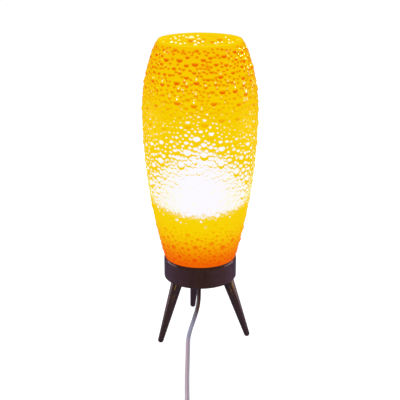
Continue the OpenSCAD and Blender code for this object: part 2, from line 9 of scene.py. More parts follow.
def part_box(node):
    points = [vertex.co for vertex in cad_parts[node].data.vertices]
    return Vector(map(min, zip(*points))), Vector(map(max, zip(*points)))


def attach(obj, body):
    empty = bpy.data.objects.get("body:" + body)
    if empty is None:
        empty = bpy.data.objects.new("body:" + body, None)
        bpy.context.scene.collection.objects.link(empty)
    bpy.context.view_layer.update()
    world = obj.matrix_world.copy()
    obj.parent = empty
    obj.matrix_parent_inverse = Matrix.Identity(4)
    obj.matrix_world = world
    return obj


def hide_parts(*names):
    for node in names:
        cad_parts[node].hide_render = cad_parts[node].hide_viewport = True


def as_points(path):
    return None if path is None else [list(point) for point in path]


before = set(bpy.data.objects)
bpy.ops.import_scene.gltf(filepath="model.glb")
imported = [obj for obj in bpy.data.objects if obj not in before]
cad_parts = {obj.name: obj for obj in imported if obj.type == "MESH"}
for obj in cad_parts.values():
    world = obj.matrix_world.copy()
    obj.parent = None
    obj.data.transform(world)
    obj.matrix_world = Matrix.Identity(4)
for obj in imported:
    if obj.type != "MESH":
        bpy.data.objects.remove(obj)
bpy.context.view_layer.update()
scene = bpy.context.scene
scene.view_settings.view_transform = "Standard"

# Camera
# It stands a little over a metre in front of the lamp and looks slightly down on it,
# so that the ellipse of the open rim and all three feet show.
LOOKS_DOWN = 18.94
camera_data = bpy.data.cameras.new("front_camera")
camera_data.sensor_width = 36.0
camera_data.lens = 81.47
camera = bpy.data.objects.new("front_camera", camera_data)
camera.location = (-0.0002, -1.05, 0.5333)
camera.rotation_euler = (math.radians(90.0 - LOOKS_DOWN), 0.0, 0.0)
scene.collection.objects.link(camera)
scene.camera = camera


# Studio
# A white sweep of paper under the lamp and plain soft light. Reflections see a dim room with
# lilac paper, lilac cards and three small windows, so that the bubbles keep their colour, some
# carry a spark, and the dark wood has a sheen along its sides.
def new_finish(name, colour, roughness=0.5, metallic=0.0, specular=0.5):
    finish = bpy.data.materials.new(name)
    finish.use_nodes = True
    shader = finish.node_tree.nodes["Principled BSDF"]
    shader.inputs["Base Color"].default_value = (*colour, 1.0)
    shader.inputs["Roughness"].default_value = roughness
    shader.inputs["Metallic"].default_value = metallic
    shader.inputs["Specular IOR Level"].default_value = specular
    return finish, finish.node_tree, shader


def feed(tree, socket, value):
    # A socket takes another node's output, a colour, or plain numbers
    if isinstance(value, bpy.types.NodeSocket):
        tree.links.new(value, socket)
    elif socket.type == "RGBA":
        socket.default_value = (*value, 1.0)
    else:
        socket.default_value = value


def add_node(tree, kind, inputs=None, **settings):
    node = tree.nodes.new("ShaderNode" + kind)
    for setting, value in settings.items():
        setattr(node, setting, value)
    for socket, value in (inputs or {}).items():
        feed(tree, node.inputs[socket], value)
    return node


def mixed(tree, share, first, second):
    ends = {"Factor": share, "A": first, "B": second}
    return add_node(tree, "Mix", ends, data_type="RGBA").outputs["Result"]


def by_ray(tree, seen, mirrored, lighting):
    # What the camera sees, what gloss mirrors and what lights the lamp may differ
    rays = add_node(tree, "LightPath").outputs
    return mixed(tree, rays["Is Glossy Ray"], mixed(tree, rays["Is Camera Ray"], lighting, seen), mirrored)


world = bpy.data.worlds.new("studio_air")
world.use_nodes = True
scene.world = world
air = world.node_tree
air_light = by_ray(air, seen=(1.0, 1.0, 1.0), mirrored=(0.06, 0.05, 0.08), lighting=(0.4, 0.4, 0.4))
feed(air, air.nodes["Background"].inputs["Color"], air_light)

FLOOR_SIZE = 60.0
FLOOR_Z = -0.0004
PAPER_GREY = (0.5, 0.5, 0.5)
bpy.ops.object.select_all(action="DESELECT")
bpy.ops.mesh.primitive_plane_add(size=FLOOR_SIZE, location=(0.0, 0.0, FLOOR_Z))
paper_floor = bpy.context.object
paper_floor.name = "paper_floor"
paper, paper_tree, paper_shader = new_finish("white_paper", PAPER_GREY, roughness=0.9, specular=0.0)
paper_colour = by_ray(paper_tree, seen=PAPER_GREY, mirrored=(0.02, 0.02, 0.02), lighting=PAPER_GREY)
paper_light = by_ray(
    paper_tree, seen=(0.82, 0.82, 0.82), mirrored=(0.14, 0.1, 0.2), lighting=(0.0, 0.0, 0.0),
)
feed(paper_tree, paper_shader.inputs["Base Color"], paper_colour)
feed(paper_tree, paper_shader.inputs["Emission Color"], paper_light)
paper_shader.inputs["Emission Strength"].default_value = 1.0
paper_floor.data.materials.append(paper)


def lilac_card(name, corners, light):
    finish, _, shader = new_finish(name, (0.0, 0.0, 0.0), roughness=0.9, specular=0.0)
    shader.inputs["Emission Color"].default_value = (*light, 1.0)
    shader.inputs["Emission Strength"].default_value = 1.0
    mesh = bpy.data.meshes.new(name)
    mesh.from_pydata(corners, [], [(0, 1, 2, 3)])
    mesh.materials.append(finish)
    card = bpy.data.objects.new(name, mesh)
    scene.collection.objects.link(card)
    card.visible_camera = False
    card.visible_diffuse = False
    card.visible_shadow = False


LYING_NEAR, LYING_FAR, LYING_FRONT, LYING_BACK = 0.12, 0.5, -0.26, 0.08
STANDING_X, STANDING_FRONT, STANDING_BACK, STANDING_TOP = 0.7, -0.15, 0.4, 0.16
for hand, way in (("left", -1), ("right", 1)):
    lying = [
        (LYING_NEAR * way, LYING_FRONT, 0.0), (LYING_FAR * way, LYING_FRONT, 0.0),
        (LYING_FAR * way, LYING_BACK, 0.0), (LYING_NEAR * way, LYING_BACK, 0.0),
    ]
    standing = [
        (STANDING_X * way, STANDING_FRONT, 0.0), (STANDING_X * way, STANDING_BACK, 0.0),
        (STANDING_X * way, STANDING_BACK, STANDING_TOP), (STANDING_X * way, STANDING_FRONT, STANDING_TOP),
    ]
    lilac_card(hand + "_lying_card", lying, (0.29, 0.19, 0.36))
    lilac_card(hand + "_standing_card", standing, (2.6, 1.85, 2.15))


def soft_lamp(name, place, aim_height, size, power):
    lamp_data = bpy.data.lights.new(name, "AREA")
    lamp_data.shape = "SQUARE"
    lamp_data.size = size
    lamp_data.energy = power
    lamp = bpy.data.objects.new(name, lamp_data)
    lamp.location = place
    aim = Vector((0.0, 0.0, aim_height)) - Vector(place)
    lamp.rotation_euler = aim.to_track_quat("-Z", "Y").to_euler()
    lamp.visible_glossy = False
    scene.collection.objects.link(lamp)
    return lamp


def cool_window(name, place, power):
    # It shows in reflections only, and is blue so that its sparks come out white through the amber
    window = soft_lamp(name, place, aim_height=0.3, size=0.06, power=power)
    window.data.color = (0.5, 0.52, 1.0)
    window.visible_diffuse = False
    window.visible_glossy = True


soft_lamp("key_lamp", (1.1, -1.0, 1.15), aim_height=0.2, size=0.5, power=16.0)
soft_lamp("fill_lamp", (-1.2, -0.9, 0.9), aim_height=0.18, size=0.9, power=8.0)
soft_lamp("back_lamp", (0.2, 1.3, 1.2), aim_height=0.2, size=0.9, power=8.0)
cool_window("right_window", (1.17, -0.31, 1.0), power=2.7)
cool_window("far_right_window", (1.17, 0.676, 0.66), power=9.0)
cool_window("left_window", (-1.29, 0.113, 0.825), power=3.6)

# Flat twin flex
# Two stranded cores, one of bare copper and one tinned, side by side in clear PVC. The flex drops
# out of the base's underside, turns flat on the floor and runs forward to its switch; from there
# the rest is wound on edge in a two-layer coil and ends in the plug.
FLEX_WIDE = 0.0052
FLEX_THICK = 0.0026
LOBE_POINTS = 10
LOBE_ARC = 252

# The routes are in millimetres, and each point's last number is the flex's roll in degrees
ON_EDGE = 90
drop_points = [
    (0, 0, 74, 16), (0, 0, 64, 16), (-1.4, -0.5, 54, 10), (-1.8, -3, 41, 12), (-3.7, -8, 30, 13),
    (-7.5, -15, 19.5, 10), (-11.5, -24, 11, 6), (-14, -34, 5.5, 2), (-15, -46, 2.4, 0),
    (-15, -60, 1.6, 0), (-15, -90, 1.6, 0), (-15, -130, 1.6, 0), (-14.5, -165, 1.6, 0),
    (-14, -188, 2.6, 0), (-14, -201, 5.2, 0), (-14, -212, 6.5, 0), (-14, -218, 6.5, 0),
]
link_points = [
    (-14, -264, 6.5, 0), (-14, -270, 6.5, 0), (-14, -279, 5.6, 22), (-14, -289, 4.3, 68),
    (-14, -298.8, 3.9, ON_EDGE),
]
tail_points = [
    (58, -298.8, 9.8, ON_EDGE), (58, -292, 9.2, 60), (58, -284, 7.8, 22), (58, -276, 7, 0),
    (58, -270, 7, 0),
]
COIL_X, COIL_Y = 22.0, -304.0
COIL_OUTER = 36.0
COIL_STEP = 3.15
COIL_LOW, COIL_RISE = 3.9, 5.9
COIL_LEAD = 2.6
LAYER_TURNS = 3.5
TURN_POINTS = 48
COIL_INNER = COIL_OUTER - LAYER_TURNS * COIL_STEP
REVERSE_TURNS, REVERSE_BULGE = 0.5, 1.6
CLIMB_START, CLIMB_SHARE = 0.2, 0.6


def curve_through(points, steps):
    line = []
    for i in range(len(points) - 1):
        a, b = points[max(i - 1, 0)], points[i]
        c, d = points[i + 1], points[min(i + 2, len(points) - 1)]
        for k in range(steps):
            t = k / steps
            line.append(tuple(
                0.5 * (2 * q + (r - p) * t + (2 * p - 5 * q + 4 * r - s) * t * t
                       + (3 * q - p - 3 * r + s) * t ** 3)
                for p, q, r, s in zip(a, b, c, d)
            ))
    line.append(tuple(float(x) for x in points[-1]))
    return line


def coil_spot(turn):
    # The coil spirals in, climbs a layer in the half turn where it reverses, and spirals out again
    past = turn - LAYER_TURNS
    climb = min(max((past / REVERSE_TURNS - CLIMB_START) / CLIMB_SHARE, 0.0), 1.0)
    height = COIL_LOW + COIL_RISE * climb * climb * (3 - 2 * climb)
    if past < 0.0:
        radius = COIL_OUTER - COIL_STEP * turn
    elif past < REVERSE_TURNS:
        radius = COIL_INNER - REVERSE_BULGE * math.sin(math.pi * past / REVERSE_TURNS)
    else:
        radius = COIL_INNER + COIL_STEP * (past - REVERSE_TURNS)
    angle = math.pi + 2 * math.pi * turn
    return COIL_X + radius * math.cos(angle), COIL_Y + radius * math.sin(angle), height, ON_EDGE


def flex_section():
    # One turn round the two lobes, each open towards the web between them
    lobe = FLEX_THICK / 2
    middle = FLEX_WIDE / 2 - lobe
    outline = []
    for way, facing in ((1, 0), (-1, 180)):
        for k in range(LOBE_POINTS):
            angle = math.radians(facing - LOBE_ARC / 2 + LOBE_ARC * k / (LOBE_POINTS - 1))
            outline.append((way * middle + lobe * math.cos(angle), lobe * math.sin(angle)))
    return outline


def flex_sides(line, centres):
    # At each point, the way that the flex's width points and the way that its face looks
    last_side = None
    for i, point in enumerate(line):
        ahead = (centres[min(i + 1, len(line) - 1)] - centres[max(i - 1, 0)]).normalized()
        if point[3] > ON_EDGE - 0.1:
            side = (Vector((0.0, 0.0, 1.0)) - ahead * ahead.z).normalized()
        else:
            level = (Vector((1.0, 0.0, 0.0)) - ahead * ahead.x).normalized()
            roll = math.radians(point[3])
            side = level * math.cos(roll) + level.cross(ahead) * math.sin(roll)
        if last_side and side.dot(last_side) < 0:
            side.negate()
        last_side = side
        yield side, side.cross(ahead)


def twin_flex(name, line, finish):
    outline = flex_section()
    count = len(outline)
    centres = [Vector(point[:3]) / 1000 for point in line]
    corners = []
    for centre, (side, face) in zip(centres, flex_sides(line, centres)):
        corners.extend(tuple(centre + side * u + face * v) for u, v in outline)
    faces = []
    for i in range(len(line) - 1):
        for j in range(count):
            a, b = i * count + j, i * count + (j + 1) % count
            faces.append((a, a + count, b + count, b))
    faces.append(tuple(range(count)))
    faces.append(tuple((len(line) - 1) * count + j for j in reversed(range(count))))
    mesh = bpy.data.meshes.new(name)
    mesh.from_pydata(corners, [], faces)
    shares = [0.5 + u / FLEX_WIDE for u, _ in outline] * len(line)
    mesh.attributes.new("across", "FLOAT", "POINT").data.foreach_set("value", shares)
    mesh.polygons.foreach_set("use_smooth", [True] * (len(faces) - 2) + [False] * 2)
    mesh.materials.append(finish)
    cord = bpy.data.objects.new(name, mesh)
    scene.collection.objects.link(cord)
    bpy.ops.object.select_all(action="DESELECT")
    cord.select_set(True)
    bpy.context.view_layer.objects.active = cord
    bpy.ops.object.mode_set(mode="EDIT")
    bpy.ops.mesh.select_all(action="SELECT")
    bpy.ops.mesh.normals_make_consistent(inside=False)
    bpy.ops.object.mode_set(mode="OBJECT")
    return cord, [tuple(centre) for centre in centres]


def point_of(tree):
    # Where a point of the piece lies, as a vector and along each axis
    place = add_node(tree, "TexCoord").outputs["Object"]
    return place, add_node(tree, "SeparateXYZ", {"Vector": place}).outputs


def ranged(tree, value, low, high, to_low=0.0, to_high=1.0, kind="LINEAR"):
    ends = {"Value": value, "From Min": low, "From Max": high, "To Min": to_low, "To Max": to_high}
    return add_node(tree, "MapRange", ends, interpolation_type=kind).outputs["Result"]


def banded(tree, share, stops):
    # A ramp through the stops, each a place from 0 to 1 and its colour
    ramp = add_node(tree, "ValToRGB", {"Fac": share})
    elements = ramp.color_ramp.elements
    for element, (at, colour) in ((elements[0], stops[0]), (elements[1], stops[-1])):
        element.position = at
        element.color = (*colour, 1.0)
    for at, colour in stops[1:-1]:
        elements.new(at).color = (*colour, 1.0)
    return ramp.outputs["Color"]


# On the floor the copper core shows as a pink line. Further up the clear skin is painted darker:
# a painted reflection of the grey room, and then painted shade and reflection of the brown base.
flex_finish, flex_tree, flex_shader = new_finish(
    "clear_twin_flex", (0.5, 0.46, 0.56), roughness=0.4, specular=0.2,
)
across_flex = add_node(flex_tree, "Attribute", attribute_name="across").outputs["Fac"]
_, flex_axes = point_of(flex_tree)
on_paper = banded(flex_tree, across_flex, (
    (0.0, (0.56, 0.54, 0.66)), (0.2, (0.6, 0.54, 0.69)), (0.32, (0.74, 0.5, 0.58)),
    (0.41, (0.72, 0.43, 0.5)), (0.5, (0.4, 0.34, 0.43)), (0.625, (0.4, 0.365, 0.47)),
    (0.775, (0.44, 0.415, 0.53)), (1.0, (0.36, 0.36, 0.43)),
))
# Painted reflection of the grey room on the clear skin
painted_room_grey = banded(flex_tree, across_flex, (
    (0.0, (0.44, 0.43, 0.53)), (0.3, (0.4, 0.4, 0.53)), (0.5, (0.32, 0.32, 0.43)),
    (0.7, (0.34, 0.34, 0.46)), (1.0, (0.24, 0.22, 0.3)),
))
# Painted shade and reflection of the dark base on the clear skin
painted_base_shade = banded(flex_tree, across_flex, (
    (0.0, (0.2, 0.17, 0.22)), (0.25, (0.16, 0.13, 0.16)), (0.45, (0.08, 0.042, 0.036)),
    (0.6, (0.09, 0.03, 0.012)), (0.8, (0.1, 0.036, 0.02)), (1.0, (0.13, 0.065, 0.06)),
))
room_grey_share = ranged(flex_tree, flex_axes["Z"], 0.0032, 0.006)
base_shade_share = ranged(flex_tree, flex_axes["Z"], 0.0125, 0.03)
flex_colour = mixed(flex_tree, base_shade_share, mixed(flex_tree, room_grey_share, on_paper, painted_room_grey), painted_base_shade)
feed(flex_tree, flex_shader.inputs["Base Color"], flex_colour)

lamp_cord, lamp_path = twin_flex("lamp_cord", curve_through(drop_points, steps=6), flex_finish)
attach(lamp_cord, "stand")
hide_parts("cord_drop")

coil_count = int((2 * LAYER_TURNS + REVERSE_TURNS) * TURN_POINTS) + 1
coil_line = [coil_spot(k / TURN_POINTS) for k in range(coil_count)]
lead_in = (COIL_X - COIL_OUTER, COIL_Y + COIL_LEAD, COIL_LOW, ON_EDGE)
lead_out = (COIL_X + COIL_OUTER, COIL_Y + COIL_LEAD, COIL_LOW + COIL_RISE, ON_EDGE)
put_away = curve_through(link_points, steps=5) + [lead_in] + coil_line
put_away += [lead_out] + curve_through(tail_points, steps=5)
plug_cord, plug_path = twin_flex("plug_cord", put_away, flex_finish)
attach(plug_cord, "stand")
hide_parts("cord_link", "cord_coil", "cord_tail")


def line_length(path):
    return sum((Vector(b) - Vector(a)).length for a, b in zip(path, path[1:]))


round(line_length(lamp_path), 3)
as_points(lamp_path)
round(line_length(plug_path), 3)
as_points(plug_path)


# Turned base and legs
# Dark-stained beech under a gloss lacquer. The disc is turned on a lathe and its grain hardly
# shows; the legs are turned along the grain and glued into the disc. Towards the legs' tops golden
# streaks are painted into the stain as a painted reflection of the shade's glow; on the disc the
# same streaks are only a slightly paler brown in the stain.
def new_group(name, inputs, outputs):
    group = bpy.data.node_groups.new(name, "ShaderNodeTree")
    for in_out, sockets in (("INPUT", inputs), ("OUTPUT", outputs)):
        for socket, kind in sockets.items():
            group.interface.new_socket(socket, in_out=in_out, socket_type="NodeSocket" + kind)
    return group, group.nodes.new("NodeGroupInput").outputs, group.nodes.new("NodeGroupOutput").inputs


def calculated(tree, kind, first, second=0.0):
    return add_node(tree, "Math", {0: first, 1: second}, operation=kind).outputs[0]


grain, grain_in, grain_out = new_group(
    "stained_grain",
    {"Vector": "Vector", "Dark": "Color", "Light": "Color", "Streak And Glow": "Color",
     "Fineness": "Float", "Streak And Glow Share": "Float"},
    {"Color": "Color", "Roughness": "Float", "Height": "Float"},
)
streak_noise = add_node(grain, "TexNoise", {
    "Vector": grain_in["Vector"], "Scale": grain_in["Fineness"],
    "Detail": 6.0, "Roughness": 0.65, "Distortion": 0.4,
})
streaks = streak_noise.outputs["Fac"]
stain = mixed(grain, ranged(grain, streaks, 0.35, 0.68), grain_in["Dark"], grain_in["Light"])
# Streaks high up: golden on the legs as a painted reflection of the shade's glow, paler brown on the disc
streak_and_glow_share = calculated(grain, "MULTIPLY", ranged(grain, streaks, 0.58, 0.63), grain_in["Streak And Glow Share"])
feed(grain, grain_out["Color"], mixed(grain, streak_and_glow_share, stain, grain_in["Streak And Glow"]))
feed(grain, grain_out["Roughness"], ranged(grain, streaks, 0.0, 1.0, 0.2, 0.34))
feed(grain, grain_out["Height"], streaks)
STREAK_AND_GLOW_BLEND = 0.015
LACQUER_RELIEF = 0.0004


def add_surface(tree, shader, surface, bump, depth):
    # The group's colour, roughness and height go to the shader, the height as a fine relief
    relief = {"Strength": bump, "Distance": depth, "Height": surface.outputs["Height"]}
    feed(tree, shader.inputs["Base Color"], surface.outputs["Color"])
    feed(tree, shader.inputs["Roughness"], surface.outputs["Roughness"])
    feed(tree, shader.inputs["Normal"], add_node(tree, "Bump", relief).outputs["Normal"])


def stained_wood(name, dark, light, streak_and_glow, streak_and_glow_from, start, stretch, turn, fineness, bump):
    finish, tree, shader = new_finish(name, dark, roughness=0.28)
    place, axes = point_of(tree)
    lay = {"Vector": place, "Location": start, "Rotation": turn, "Scale": stretch}
    wood = add_node(tree, "Group", {
        "Vector": add_node(tree, "Mapping", lay, vector_type="TEXTURE").outputs["Vector"],
        "Dark": dark, "Light": light, "Streak And Glow": streak_and_glow, "Fineness": fineness,
        "Streak And Glow Share": ranged(tree, axes["Z"], streak_and_glow_from, streak_and_glow_from + STREAK_AND_GLOW_BLEND),
    }, node_tree=grain)
    add_surface(tree, shader, wood, bump, LACQUER_RELIEF)
    shader.inputs["Coat Weight"].default_value = 0.5
    shader.inputs["Coat Roughness"].default_value = 0.12
    return finish


def dress(finish, *nodes):
    for node in nodes:
        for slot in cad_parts[node].material_slots:
            slot.material = finish


base_finish = stained_wood(
    "stained_base", dark=(0.034, 0.012, 0.0035), light=(0.042, 0.0155, 0.005), streak_and_glow=(0.048, 0.019, 0.007),
    streak_and_glow_from=0.06, start=(0.0, 0.0, 0.0), stretch=(3.0, 1.0, 0.8), turn=(0.0, 0.0, 0.3),
    fineness=60.0, bump=0.02,
)
dress(base_finish, "base_block")
LEG_SPLAY = math.radians(20.46)
for leg, leg_turn in (("leg_back", 99.0), ("leg_front_left", 219.0), ("leg_front_right", 339.0)):
    # The golden streak colour is a painted reflection of the shade's glow
    leg_finish = stained_wood(
        "stained_" + leg, dark=(0.028, 0.013, 0.0095), light=(0.045, 0.022, 0.016), streak_and_glow=(0.42, 0.22, 0.03),
        streak_and_glow_from=0.047, start=(0.0075, 0.0, 0.0), stretch=(1.0, 1.0, 30.0),
        turn=(0.0, -LEG_SPLAY, math.radians(leg_turn)), fineness=520.0, bump=0.1,
    )
    dress(leg_finish, leg)

# Shade
# One barrel of clear amber acrylic, blown into a mould that is pitted all over, so that its
# outside is covered in round bubbles of three sizes. The foot and the lip are left plain.
# The bulb inside shows through it as a white-hot zone, and every bubble bends that light.
BASE_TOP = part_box("base_block")[1][2]
FOOT_Z, RIM_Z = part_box("shade")[0][2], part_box("shade")[1][2]
FOOT_TOP = BASE_TOP + 0.0005
WALL = 0.0026

# The wall is three arcs that run into each other: the flank, the shoulder and the crown
BELLY_R = 0.0685
BELLY_Z = BASE_TOP + 0.686 * (RIM_Z - BASE_TOP)
CROWN_Z = RIM_Z - 0.016
FLANK_R, SHOULDER_R, CROWN_R = 0.7, 0.202, 0.09
shoulder_sin = (CROWN_Z - BELLY_Z) / SHOULDER_R
shoulder_cos = math.sqrt(1 - shoulder_sin ** 2)
CROWN_X = BELLY_R - SHOULDER_R + (SHOULDER_R - CROWN_R) * shoulder_cos
CROWN_MID = BELLY_Z + (SHOULDER_R - CROWN_R) * shoulder_sin


def wall_radius(z, inset=0.0):
    if z <= BELLY_Z:
        return BELLY_R - FLANK_R + math.sqrt((FLANK_R - inset) ** 2 - (z - BELLY_Z) ** 2)
    if z <= CROWN_Z:
        return BELLY_R - SHOULDER_R + math.sqrt((SHOULDER_R - inset) ** 2 - (z - BELLY_Z) ** 2)
    return CROWN_X + math.sqrt((CROWN_R - inset) ** 2 - (z - CROWN_MID) ** 2)


# The profile runs up the outside, over the rounded lip and down the inside, where its rows are
# close together at the mouth and wide apart further down
ROUND = 340
ROWS = 228
MOUTH_ROWS, MOUTH_STEP = 25, 0.0011
INNER_ROWS = 16
FOOT_STEP, LIP_ROUND = 0.0009, 0.0009
LIP_SHAPE = ((0.06, 0.0004), (0.2, 0.0), (0.8, 0.0), (0.94, 0.0004))
FOOT_R = wall_radius(FOOT_TOP) - FOOT_STEP
LIP_Z = RIM_Z - LIP_ROUND
INNER_FOOT = FOOT_TOP + 0.004
profile = [(FOOT_R, FOOT_Z), (FOOT_R, BASE_TOP - 0.001)]
for k in range(ROWS + 1):
    z = FOOT_TOP + (LIP_Z - FOOT_TOP) * k / ROWS
    profile.append((wall_radius(z), z))
lip_out, lip_in = wall_radius(LIP_Z), wall_radius(LIP_Z, WALL)
for share, drop in LIP_SHAPE:
    profile.append((lip_out + (lip_in - lip_out) * share, RIM_Z - drop))
inner_heights = [LIP_Z - MOUTH_STEP * k for k in range(MOUTH_ROWS)]
inner_drop = INNER_FOOT - inner_heights[-1]
inner_heights += [inner_heights[-1] + inner_drop * k / INNER_ROWS for k in range(1, INNER_ROWS + 1)]
profile += [(wall_radius(z, WALL), z) for z in inner_heights]
profile += [(FOOT_R - WALL, FOOT_TOP + 0.001), (FOOT_R - WALL, FOOT_Z)]
profile_edges = [(k, (k + 1) % len(profile)) for k in range(len(profile))]

bpy.ops.object.select_all(action="DESELECT")
shade_mesh = bpy.data.meshes.new("bubble_shade")
shade_mesh.from_pydata([(r, 0.0, z) for r, z in profile], profile_edges, [])
shade = bpy.data.objects.new("bubble_shade", shade_mesh)
scene.collection.objects.link(shade)
shade.select_set(True)
bpy.context.view_layer.objects.active = shade
bpy.ops.object.mode_set(mode="EDIT")
bpy.ops.mesh.select_all(action="SELECT")
bpy.ops.mesh.spin(steps=ROUND, angle=2 * math.pi, center=(0.0, 0.0, 0.0), axis=(0.0, 0.0, 1.0))
bpy.ops.mesh.select_all(action="SELECT")
bpy.ops.mesh.remove_doubles(threshold=0.00002)
bpy.ops.mesh.normals_make_consistent(inside=False)
bpy.ops.object.mode_set(mode="OBJECT")
bpy.ops.object.shade_smooth()

# The bubbles are set out largest first, each where it clears the ones before it.
# A batch has its tries, its smallest and largest radius, and the gap that it keeps.
LARGEST = 0.0046
BATCHES = ((1200, 0.0038, LARGEST, 0.007), (2600, 0.0026, 0.0032, 0.0012), (60000, 0.0016, 0.0022, 0.0001))
BUBBLES_FROM, BUBBLES_SPAN = FOOT_TOP + 0.003, LIP_Z - FOOT_TOP - 0.004
BUBBLES_TOP = LIP_Z - 0.0006
CELL = 0.006
dice = random.Random(62)
bubbles = []
cells = {}


def cell_of(spot):
    return tuple(int(c // CELL) for c in spot)


def clear_of_others(spot, radius, gap):
    away = int((radius + LARGEST + gap) // CELL) + 1
    x, y, z = cell_of(spot)
    for dx, dy, dz in itertools.product(range(-away, away + 1), repeat=3):
        for other, other_radius in cells.get((x + dx, y + dy, z + dz), ()):
            if (spot - other).length < radius + other_radius + gap:
                return False
    return True


for tries, smallest, largest, gap in BATCHES:
    for _ in range(tries):
        z = BUBBLES_FROM + BUBBLES_SPAN * dice.random()
        angle = 2 * math.pi * dice.random()
        radius = smallest + (largest - smallest) * dice.random()
        luck = 2 * dice.random() - 1
        r = wall_radius(z)
        if dice.random() > r / BELLY_R or z + radius > BUBBLES_TOP:
            continue
        spot = Vector((r * math.cos(angle), r * math.sin(angle), z))
        if clear_of_others(spot, radius, gap):
            cells.setdefault(cell_of(spot), []).append((spot, radius))
            bubbles.append((spot, radius, luck))

# Each point of the wall keeps where it lies on its bubble, for the finish, and is raised by it.
# The reach is its distance from the bubble's middle, in bubble radii.
FAR_REACH = 1.5
SEARCH_WITHIN = FAR_REACH * LARGEST + 0.0001
BUBBLE_RISE, HOLLOW_SHARE = 0.3, 0.3
finder = kdtree.KDTree(len(bubbles))
for k, (spot, radius, luck) in enumerate(bubbles):
    finder.insert(spot, k)
finder.balance()
point_count = len(shade_mesh.vertices)
marks = {mark: [0.0] * point_count for mark in ("up", "side", "luck", "bulk", "inner", "lip")}
marks["reach"] = [FAR_REACH] * point_count
for i, vertex in enumerate(shade_mesh.vertices):
    at = vertex.co
    flat = math.hypot(at.x, at.y)
    inside = flat < wall_radius(min(max(at.z, FOOT_TOP), LIP_Z)) - WALL * 0.5
    marks["inner"][i] = 1.0 if inside else 0.0
    marks["lip"][i] = 1.0 if at.z > LIP_Z - 0.0001 else 0.0
    outward = 1 + WALL / flat if inside else 1.0
    surface = Vector((at.x * outward, at.y * outward, at.z))
    found = [(far / bubbles[k][1], k) for _, k, far in finder.find_range(surface, SEARCH_WITHIN)]
    near, k = min(found, default=(FAR_REACH + 1, 0))
    if near > FAR_REACH:
        continue
    spot, radius, luck = bubbles[k]
    marks["reach"][i] = near
    marks["side"][i] = (surface.y * spot.x - surface.x * spot.y) / math.hypot(spot.x, spot.y) / radius
    marks["up"][i] = (surface.z - spot.z) / radius
    marks["luck"][i] = luck
    marks["bulk"][i] = radius / LARGEST
    if near < 1.0 and LIP_Z > at.z > FOOT_TOP:
        lift = BUBBLE_RISE * radius * (1 - near ** 2) * (HOLLOW_SHARE if inside else 1.0)
        vertex.co = Vector((at.x * (1 + lift / flat), at.y * (1 + lift / flat), at.z))
for mark, values in marks.items():
    shade_mesh.attributes.new(mark, "FLOAT", "POINT").data.foreach_set("value", values)
shade_mesh.update()

# Its colour is the light that comes through: white-hot beside the bulb, yellow above it, orange
# towards the foot. The amber takes more out of light that leaves at a slant, as a tinted coat does.
# Colours are given as they show from straight ahead, and past 255 they are brighter than paper.
AMBER_TINT = (1.0, 0.97, 0.46)
GLOW = 3.8
amber, amber_tree, amber_shader = new_finish(
    "lit_amber_acrylic", (0.02, 0.008, 0.0), roughness=0.03, specular=0.1,
)
amber_shader.inputs["Coat Weight"].default_value = 1.0
amber_shader.inputs["Coat IOR"].default_value = 1.02
amber_shader.inputs["Coat Tint"].default_value = (*AMBER_TINT, 1.0)
amber_shader.inputs["Emission Strength"].default_value = GLOW
amber_place, amber_axes = point_of(amber_tree)
height_up = amber_axes["Z"]


def bubble_mark(mark):
    return add_node(amber_tree, "Attribute", attribute_name=mark).outputs["Fac"]


def chained(kind, values):
    result = values[0]
    for value in values[1:]:
        result = calculated(amber_tree, kind, result, value)
    return result


def product(*values):
    return chained("MULTIPLY", values)


def total(*values):
    return chained("ADD", values)


def eased(value, low, high, to_low=0.0, to_high=1.0):
    return ranged(amber_tree, value, low, high, to_low, to_high, "SMOOTHSTEP")


def light_of(colour):
    # The light that shows as this colour, from straight ahead and through the tint
    linear = [(c / 255 / 12.92) if c < 11 else ((c / 255 + 0.055) / 1.055) ** 2.4 for c in colour]
    return tuple(c / tint / GLOW for c, tint in zip(linear, AMBER_TINT))


def lit(share, first, second):
    lights = [light_of(value) if isinstance(value, tuple) else value for value in (first, second)]
    return mixed(amber_tree, share, *lights)


reach = bubble_mark("reach")
bubble_luck = bubble_mark("luck")
bulk = bubble_mark("bulk")
on_bubble = eased(reach, 1.1, 1.4, 1.0, 0.0)
up = product(bubble_mark("up"), on_bubble)
side = product(bubble_mark("side"), on_bubble)
down = product(up, -1.0)
stipple = add_node(amber_tree, "TexNoise", {"Vector": amber_place, "Scale": 800.0, "Detail": 1.0})
stir = ranged(amber_tree, stipple.outputs["Fac"], 0.3, 0.7, -1.0, 1.0)

# Towards the foot it turns from yellow to orange, a little sooner in the bubbles than between them.
# The stops are heights in millimetres.
GLOW_LOW, GLOW_HIGH = 60, 420
glow_stops = (
    (85, (230, 62, 0)), (104, (237, 92, 0)), (118, (240, 126, 0)), (130, (244, 163, 0)),
    (141, (245, 194, 0)), (152, (246, 208, 0)), (163, (246, 211, 2)), (300, (245, 207, 0)),
    (335, (245, 203, 0)), (360, (245, 197, 0)),
)
bubble_dip = product(
    eased(reach, 0.65, 0.95, 1.0, 0.0),
    eased(up, -0.7, 0.5, 0.35, 1.0),
    eased(bubble_luck, -1.0, 0.5, 0.4, 1.0),
)
glow_at = total(height_up, 0.0027, product(bubble_dip, -0.02))
glow = banded(
    amber_tree, ranged(amber_tree, glow_at, GLOW_LOW / 1000, GLOW_HIGH / 1000),
    [((height - GLOW_LOW) / (GLOW_HIGH - GLOW_LOW), light_of(colour)) for height, colour in glow_stops],
)

